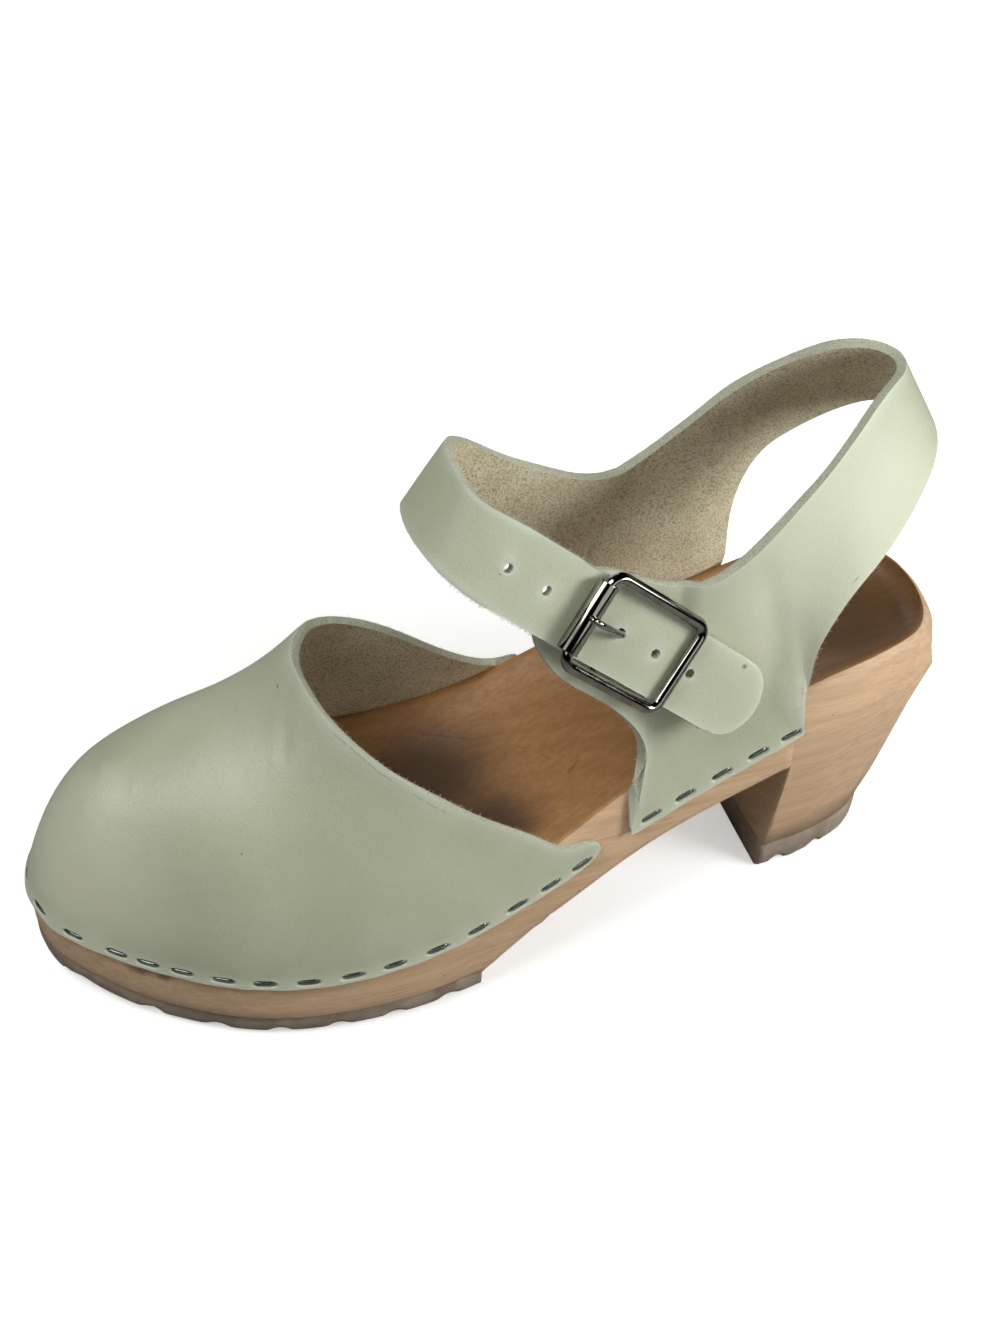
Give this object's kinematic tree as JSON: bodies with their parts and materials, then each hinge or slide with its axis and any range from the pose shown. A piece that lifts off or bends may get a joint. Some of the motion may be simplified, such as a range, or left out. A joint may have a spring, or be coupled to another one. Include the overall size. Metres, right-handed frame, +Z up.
{
  "type": "platform clog",
  "caption": "Left platform clog: carved wooden sole with block heel and rubber treads, stapled leather vamp, and a heel sling that runs on into a buckled ankle strap.",
  "frame": {"origin": "on the floor, under the middle of the shoe's box", "axes": "+X to the toe, +Y to the outer side of the left foot, +Z up"},
  "size_m": [0.2558, 0.0942, 0.1625],
  "materials": {
    "wood": "oiled light wood, worn darker on the footbed",
    "rubber": "matte grey-brown rubber with cross lugs",
    "green_leather": "satin pale sage green leather, raw suede inside, pale cut edges",
    "buckle_nickel": "polished nickel",
    "staple_steel": "satin steel wire",
    "brass": "polished, slightly tarnished"
  },
  "bodies": {
    "root": {"back_strap": "green_leather", "buckle_chape": "green_leather", "buckle_frame": "buckle_nickel", "buckle_prong": "buckle_nickel", "buckle_roller": "buckle_nickel", "forefoot_tread": "rubber", "heel_lift": "rubber", "rivet": "brass", "staple_01": "staple_steel", "staple_02": "staple_steel", "staple_03": "staple_steel", "staple_04": "staple_steel", "staple_05": "staple_steel", "staple_06": "staple_steel", "staple_07": "staple_steel", "staple_08": "staple_steel", "staple_09": "staple_steel", "staple_10": "staple_steel", "staple_11": "staple_steel", "staple_12": "staple_steel", "staple_13": "staple_steel", "staple_14": "staple_steel", "staple_15": "staple_steel", "staple_16": "staple_steel", "staple_17": "staple_steel", "staple_18": "staple_steel", "staple_19": "staple_steel", "staple_20": "staple_steel", "staple_21": "staple_steel", "staple_22": "staple_steel", "staple_23": "staple_steel", "staple_24": "staple_steel", "staple_25": "staple_steel", "staple_26": "staple_steel", "staple_27": "staple_steel", "staple_28": "staple_steel", "staple_29": "staple_steel", "staple_30": "staple_steel", "staple_31": "staple_steel", "staple_32": "staple_steel", "staple_33": "staple_steel", "staple_34": "staple_steel", "staple_35": "staple_steel", "staple_36": "staple_steel", "staple_37": "staple_steel", "staple_38": "staple_steel", "vamp": "green_leather", "wood_sole": "wood"}
  },
  "joints": []
}
